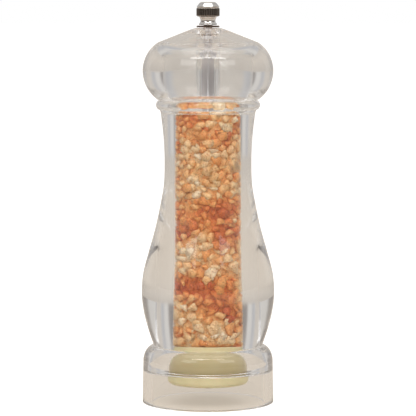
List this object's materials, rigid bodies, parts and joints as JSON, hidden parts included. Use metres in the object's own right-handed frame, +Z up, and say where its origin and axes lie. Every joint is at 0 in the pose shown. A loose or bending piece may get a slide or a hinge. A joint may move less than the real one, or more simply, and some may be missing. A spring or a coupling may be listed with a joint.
{
  "type": "salt and pepper mill",
  "caption": "Clear acrylic hand mill with a turning head, a threaded knob that sets the grind, and a conical ceramic burr grinder under a column of salt.",
  "frame": {"origin": "centre of the foot, on the surface the mill stands on", "axes": "+Z up along the axis of the mill, -Y the front"},
  "size_m": [0.0674, 0.0674, 0.2032],
  "materials": {
    "clear_acrylic": "polished",
    "rock_salt": "satin",
    "chrome": "polished",
    "aluminium": "satin",
    "cream_plastic": "satin",
    "burr_ceramic": "satin",
    "stainless_steel": "satin"
  },
  "bodies": {
    "body": {"body": "clear_acrylic", "salt_fill": "rock_salt", "grinder_housing": "cream_plastic", "grinder_collar": "cream_plastic", "stator_ring": "burr_ceramic", "grinder_screw_1": "stainless_steel", "grinder_screw_2": "stainless_steel", "grinder_screw_3": "stainless_steel"},
    "drive": {"thrust_washer": "stainless_steel"},
    "grinding_shaft": {"shaft": "aluminium", "rotor_hub": "cream_plastic", "rotor_cone": "burr_ceramic", "rotor_washer": "stainless_steel", "rotor_screw": "stainless_steel", "spring": "stainless_steel"},
    "head": {"head": "clear_acrylic", "head_ring": "clear_acrylic"},
    "washer": {"knob_washer": "chrome"},
    "knob": {"knob": "chrome"}
  },
  "joints": [
    {"name": "head_turn", "type": "hinge", "parent": "body", "child": "drive", "pos_m": [0, 0, 0.0252], "axis": [0, 0, 1], "continuous": true},
    {"name": "grind_adjust", "type": "slide", "parent": "drive", "child": "grinding_shaft", "axis": [0, 0, 1], "range_m": [0, 0.0016], "deforming": ["spring"]},
    {"name": "head_lift", "type": "slide", "parent": "drive", "child": "head", "axis": [0, 0, 1], "range_m": [0, 0.055]},
    {"name": "washer_lift", "type": "slide", "parent": "head", "child": "washer", "axis": [0, 0, 1], "range_m": [0, 0.012]},
    {"name": "knob_turn", "type": "hinge", "parent": "washer", "child": "knob", "pos_m": [0, 0, 0.1917], "axis": [0, 0, 1], "range_deg": [-720, 0]}
  ],
  "couplings": [
    {"joint": "knob_turn", "follows": "grind_adjust", "rad_per_m": -7854}
  ]
}
